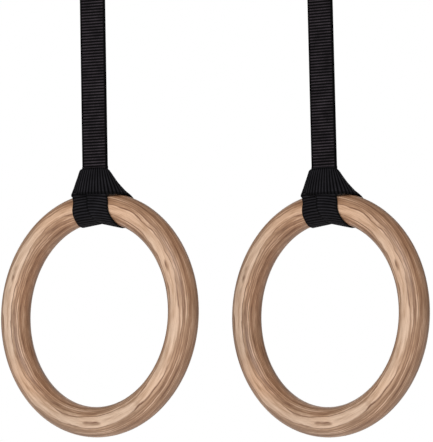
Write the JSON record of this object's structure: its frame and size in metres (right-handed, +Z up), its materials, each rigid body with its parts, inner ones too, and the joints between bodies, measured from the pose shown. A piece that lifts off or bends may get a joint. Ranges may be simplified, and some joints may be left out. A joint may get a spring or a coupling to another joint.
{
  "type": "gymnastics rings",
  "caption": "Pair of turned birch plywood gymnastics rings, each girth-hitched to a black webbing strap that is closed over a bar by a steel cam buckle.",
  "frame": {"origin": "midway between the two straps, on the axis of the level bar that both loops go over", "axes": "+X along the bar and the pair, +Z up, -Y towards the front; both rings hang below"},
  "size_m": [0.4109, 0.1652, 0.5897],
  "materials": {
    "ring_wood": "satin lacquer over laminated birch plies",
    "strap_webbing": "ribbed polypropylene webbing",
    "strap_thread": "bonded sewing thread",
    "buckle_steel": "zinc plated",
    "cam_zinc": "black satin die casting",
    "spring_steel": "drawn wire"
  },
  "bodies": {
    "bar_straps": {"left_bar_loop": "strap_webbing", "left_rear_strand_top": "strap_webbing", "left_feed_strand": "strap_webbing", "left_strap_tail": "strap_webbing", "left_sewn_end": "strap_webbing", "left_end_stitching": "strap_thread", "left_buckle_frame": "buckle_steel", "left_cam_pin": "buckle_steel", "left_cam_spring": "spring_steel", "right_bar_loop": "strap_webbing", "right_rear_strand_top": "strap_webbing", "right_feed_strand": "strap_webbing", "right_strap_tail": "strap_webbing", "right_sewn_end": "strap_webbing", "right_end_stitching": "strap_thread", "right_buckle_frame": "buckle_steel", "right_cam_pin": "buckle_steel", "right_cam_spring": "spring_steel"},
    "left_cam": {"left_cam_lever": "cam_zinc"},
    "left_strap_upper": {"left_upper_front_strand": "strap_webbing", "left_upper_back_strand": "strap_webbing"},
    "left_strap_lower": {"left_lower_front_strand": "strap_webbing", "left_lower_back_strand": "strap_webbing"},
    "left_hitch": {"left_hitch_neck": "strap_webbing", "left_hitch_collar": "strap_webbing", "left_hitch_wrap_near": "strap_webbing", "left_hitch_wrap_far": "strap_webbing"},
    "left_ring": {"left_wooden_ring": "ring_wood"},
    "right_cam": {"right_cam_lever": "cam_zinc"},
    "right_strap_upper": {"right_upper_front_strand": "strap_webbing", "right_upper_back_strand": "strap_webbing"},
    "right_strap_lower": {"right_lower_front_strand": "strap_webbing", "right_lower_back_strand": "strap_webbing"},
    "right_hitch": {"right_hitch_neck": "strap_webbing", "right_hitch_collar": "strap_webbing", "right_hitch_wrap_near": "strap_webbing", "right_hitch_wrap_far": "strap_webbing"},
    "right_ring": {"right_wooden_ring": "ring_wood"}
  },
  "joints": [
    {"name": "left_cam_press", "type": "hinge", "parent": "bar_straps", "child": "left_cam", "pos_m": [-0.1106, -0.0125, -0.06], "axis": [-1, 0, 0], "range_deg": [0, 20], "stiffness_Nm_per_rad": 0.05, "springref_deg": -28.65},
    {"name": "left_strap_swing", "type": "hinge", "parent": "bar_straps", "child": "left_strap_upper", "pos_m": [-0.1106, 0, -0.1175], "axis": [1, 0, 0], "range_deg": [-60, 60]},
    {"name": "left_strap_twist", "type": "hinge", "parent": "left_strap_upper", "child": "left_strap_lower", "pos_m": [-0.1106, 0, -0.25], "axis": [0, 0, 1], "range_deg": [-180, 180]},
    {"name": "left_ring_tilt", "type": "hinge", "parent": "left_strap_lower", "child": "left_hitch", "pos_m": [-0.1106, 0, -0.3045], "axis": [0.9598, -0.2807, 0], "range_deg": [-60, 30]},
    {"name": "left_ring_slide_round", "type": "hinge", "parent": "left_hitch", "child": "left_ring", "pos_m": [-0.1106, 0, -0.45], "axis": [0.5864, 0.81, 0], "continuous": true},
    {"name": "right_cam_press", "type": "hinge", "parent": "bar_straps", "child": "right_cam", "pos_m": [0.1106, -0.0125, -0.06], "axis": [-1, 0, 0], "range_deg": [0, 20], "stiffness_Nm_per_rad": 0.05, "springref_deg": -28.65},
    {"name": "right_strap_swing", "type": "hinge", "parent": "bar_straps", "child": "right_strap_upper", "pos_m": [0.1106, 0, -0.1175], "axis": [1, 0, 0], "range_deg": [-60, 60]},
    {"name": "right_strap_twist", "type": "hinge", "parent": "right_strap_upper", "child": "right_strap_lower", "pos_m": [0.1106, 0, -0.25], "axis": [0, 0, 1], "range_deg": [-180, 180]},
    {"name": "right_ring_tilt", "type": "hinge", "parent": "right_strap_lower", "child": "right_hitch", "pos_m": [0.1106, 0, -0.3092], "axis": [0.9285, -0.3714, 0], "range_deg": [-30, 60]},
    {"name": "right_ring_slide_round", "type": "hinge", "parent": "right_hitch", "child": "right_ring", "pos_m": [0.1106, 0, -0.4547], "axis": [0.6613, 0.7501, 0], "continuous": true}
  ]
}
